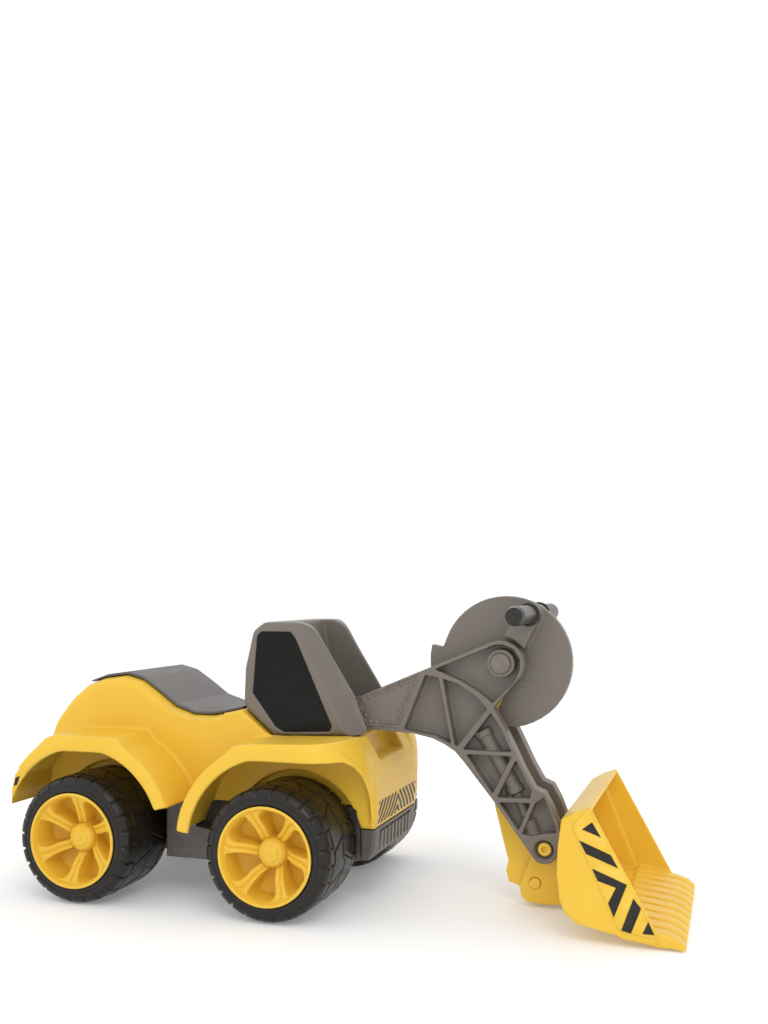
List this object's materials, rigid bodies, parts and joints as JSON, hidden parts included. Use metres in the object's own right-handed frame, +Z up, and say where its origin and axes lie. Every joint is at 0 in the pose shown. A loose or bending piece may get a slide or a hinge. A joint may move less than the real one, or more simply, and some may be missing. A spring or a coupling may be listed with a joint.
{
  "type": "ride-on toy digger",
  "caption": "Child's ride-on digger with rolling wheels, a saddle behind a small cab, and a front boom whose cranked handlebar tips a toothed bucket.",
  "frame": {"origin": "centre of the whole toy's footprint, on the floor", "axes": "+X forward to the bucket, +Y to the rider's left, +Z up"},
  "size_m": [0.7541, 0.3422, 0.345],
  "materials": {
    "yellow_plastic": "satin moulded yellow plastic",
    "grey_plastic": "satin moulded warm grey plastic",
    "dark_grey_plastic": "matte moulded dark grey plastic",
    "black_plastic": "smooth black plastic",
    "black_film": "printed black stripe film",
    "tyre": "moulded hard black tyre plastic",
    "steel": "bright drawn steel"
  },
  "bodies": {
    "base": {"body_shell": "yellow_plastic", "seat_cover": "grey_plastic", "chassis": "dark_grey_plastic", "front_grille": "grey_plastic", "cab_frame": "grey_plastic", "window_left": "black_plastic", "window_right": "black_plastic", "boom_lift_pin": "steel", "front_axle": "steel", "rear_axle": "steel", "chassis_screw_1": "steel", "chassis_screw_2": "steel", "chassis_screw_3": "steel", "chassis_screw_4": "steel"},
    "wheel_front_left": {"tyre_front_left": "tyre", "rim_front_left": "yellow_plastic", "hub_cap_front_left": "yellow_plastic", "wheel_bush_front_left": "dark_grey_plastic"},
    "wheel_front_right": {"tyre_front_right": "tyre", "rim_front_right": "yellow_plastic", "hub_cap_front_right": "yellow_plastic", "wheel_bush_front_right": "dark_grey_plastic"},
    "wheel_rear_left": {"tyre_rear_left": "tyre", "rim_rear_left": "yellow_plastic", "hub_cap_rear_left": "yellow_plastic", "wheel_bush_rear_left": "dark_grey_plastic"},
    "wheel_rear_right": {"tyre_rear_right": "tyre", "rim_rear_right": "yellow_plastic", "hub_cap_rear_right": "yellow_plastic", "wheel_bush_rear_right": "dark_grey_plastic"},
    "boom": {"boom_left": "grey_plastic", "boom_right": "grey_plastic", "boom_root_sleeve": "dark_grey_plastic", "boom_tie_tube": "grey_plastic", "boom_screw": "steel"},
    "crank": {"crank_disc": "grey_plastic", "crank_cap_left": "grey_plastic", "crank_cap_right": "grey_plastic", "handlebar": "steel", "grip_left": "dark_grey_plastic", "grip_right": "dark_grey_plastic"},
    "rod": {"push_rod": "yellow_plastic", "upper_rod_pin": "steel"},
    "bucket": {"bucket": "yellow_plastic", "bucket_pivot_pin_left": "yellow_plastic", "bucket_pivot_pin_right": "yellow_plastic", "lower_rod_pin": "yellow_plastic", "bucket_stripes_left": "black_film", "bucket_stripes_right": "black_film"}
  },
  "joints": [
    {"name": "roll_front_left", "type": "hinge", "parent": "base", "child": "wheel_front_left", "pos_m": [-0.0474, 0.12, 0.072], "axis": [0, 1, 0], "continuous": true},
    {"name": "roll_front_right", "type": "hinge", "parent": "base", "child": "wheel_front_right", "pos_m": [-0.0474, -0.12, 0.072], "axis": [0, 1, 0], "continuous": true},
    {"name": "roll_rear_left", "type": "hinge", "parent": "base", "child": "wheel_rear_left", "pos_m": [-0.2818, 0.12, 0.072], "axis": [0, 1, 0], "continuous": true},
    {"name": "roll_rear_right", "type": "hinge", "parent": "base", "child": "wheel_rear_right", "pos_m": [-0.2818, -0.12, 0.072], "axis": [0, 1, 0], "continuous": true},
    {"name": "boom_lift", "type": "hinge", "parent": "base", "child": "boom", "pos_m": [-0.0274, 0, 0.2075], "axis": [0, -1, 0], "range_deg": [0, 35]},
    {"name": "crank_turn", "type": "hinge", "parent": "boom", "child": "crank", "pos_m": [0.1759, 0, 0.271], "axis": [0, -1, 0], "range_deg": [-35, 25]},
    {"name": "rod_swing", "type": "hinge", "parent": "crank", "child": "rod", "pos_m": [0.1626, 0, 0.2291], "axis": [0, -1, 0], "range_deg": [-25, 35]},
    {"name": "bucket_tilt", "type": "hinge", "parent": "boom", "child": "bucket", "pos_m": [0.2241, 0, 0.0694], "axis": [0, -1, 0], "range_deg": [-35, 25]}
  ],
  "couplings": [
    {"joint": "rod_swing", "follows": "crank_turn", "ratio": -1},
    {"joint": "bucket_tilt", "follows": "crank_turn", "ratio": 1}
  ]
}
